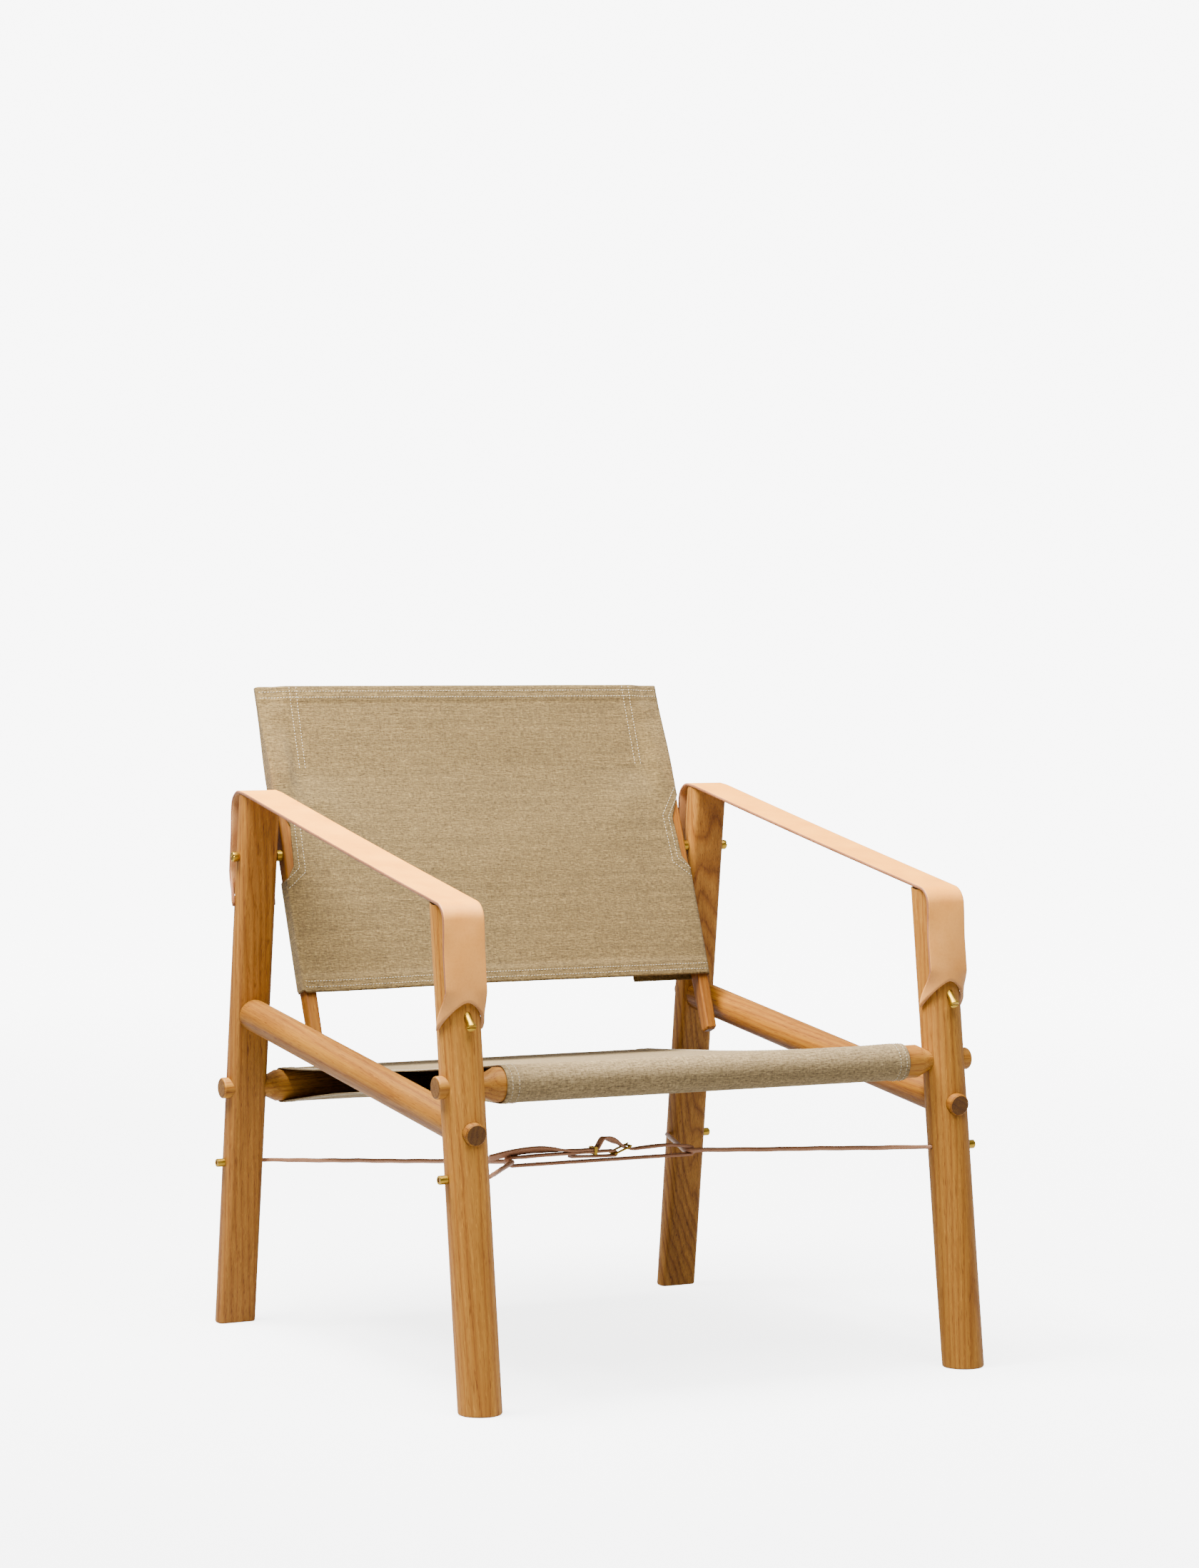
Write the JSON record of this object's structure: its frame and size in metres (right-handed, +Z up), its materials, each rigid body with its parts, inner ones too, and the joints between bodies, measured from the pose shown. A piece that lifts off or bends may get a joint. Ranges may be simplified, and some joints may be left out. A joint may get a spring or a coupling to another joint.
{
  "type": "lounge chair",
  "caption": "Knock-down lounge chair with a round oak frame, canvas seat, tilting canvas back, leather arm straps and a laced belt below the seat.",
  "frame": {"origin": "on the floor, midway between the four feet", "axes": "+Z up, -Y toward the front of the chair, +X toward the right of someone who looks at its front"},
  "size_m": [0.6486, 0.6858, 0.7392],
  "materials": {
    "oak": "oiled oak with a long fine grain",
    "canvas": "heavy plain-woven linen canvas, undyed",
    "strap_leather": "smooth natural saddle leather, pale tan",
    "cord_leather": "natural leather cord and strap, mid brown",
    "brass": "polished brass"
  },
  "bodies": {
    "frame": {"leg_front_left": "oak", "leg_front_right": "oak", "leg_rear_left": "oak", "leg_rear_right": "oak", "seat_rail_front": "oak", "seat_rail_rear": "oak", "side_rail_left": "oak", "side_rail_right": "oak", "seat_canvas": "canvas", "pivot_spacer_left": "brass", "pivot_spacer_right": "brass", "arm_strap_left": "strap_leather", "arm_strap_right": "strap_leather", "strap_stud_front_left": "brass", "strap_stud_front_right": "brass", "strap_stud_rear_left": "brass", "strap_stud_rear_right": "brass", "lace_left": "cord_leather", "lace_right": "cord_leather", "lace_ferrule_front_left": "brass", "lace_ferrule_front_right": "brass", "lace_ferrule_rear_left": "brass", "lace_ferrule_rear_right": "brass", "belt": "cord_leather", "buckle_frame": "brass"},
    "backrest": {"back_stile_left": "oak", "back_stile_right": "oak", "back_canvas": "canvas", "stile_insert_left": "brass", "stile_insert_right": "brass", "pivot_bolt_left": "brass", "pivot_bolt_right": "brass"},
    "prong": {"buckle_prong": "brass"},
    "keeper": {"belt_keeper": "brass"}
  },
  "joints": [
    {"name": "back_tilt", "type": "hinge", "parent": "frame", "child": "backrest", "pos_m": [0, 0.25243, 0.5425], "axis": [1, 0, 0], "range_deg": [-25, 20]},
    {"name": "prong_lift", "type": "hinge", "parent": "frame", "child": "prong", "pos_m": [0.0015, -0.058, 0.22049], "axis": [0, -1, 0], "range_deg": [0, 8]},
    {"name": "keeper_slide", "type": "slide", "parent": "frame", "child": "keeper", "axis": [-1, 0, 0], "range_m": [0, 0.014]}
  ]
}
